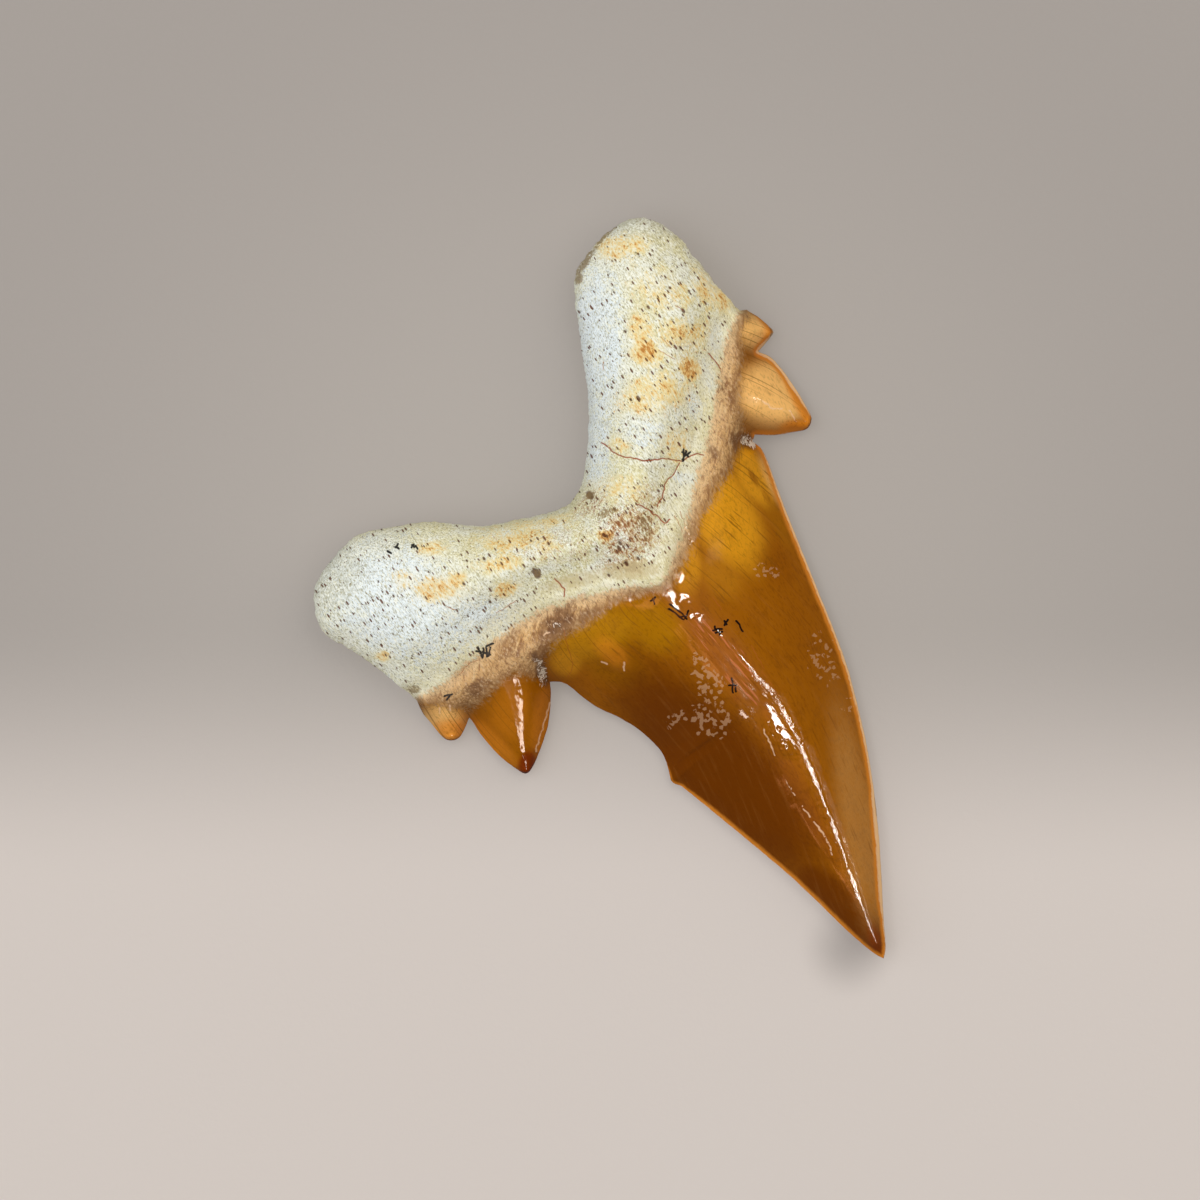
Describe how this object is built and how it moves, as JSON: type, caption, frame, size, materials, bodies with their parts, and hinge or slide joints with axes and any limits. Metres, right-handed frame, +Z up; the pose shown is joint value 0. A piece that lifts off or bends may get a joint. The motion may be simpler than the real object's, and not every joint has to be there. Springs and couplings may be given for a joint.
{
  "type": "fossil shark tooth",
  "caption": "Fossil otodus tooth with a slanting glossy crown, side cusps and a two-lobed root; lies flat as a specimen.",
  "frame": {"origin": "centre of the bounding box at its lowest face, on the surface that the tooth lies on", "axes": "+X from the distal lobe of the root to the mesial lobe, -Y towards the tip of the crown, +Z up out of the ridged inner (lingual) face"},
  "size_m": [0.0534, 0.0684, 0.0132],
  "materials": {
    "fossil_tooth": "glossy amber-brown enamel crown over a matt cream porous root"
  },
  "bodies": {
    "root": {"tooth": "fossil_tooth"}
  },
  "joints": []
}
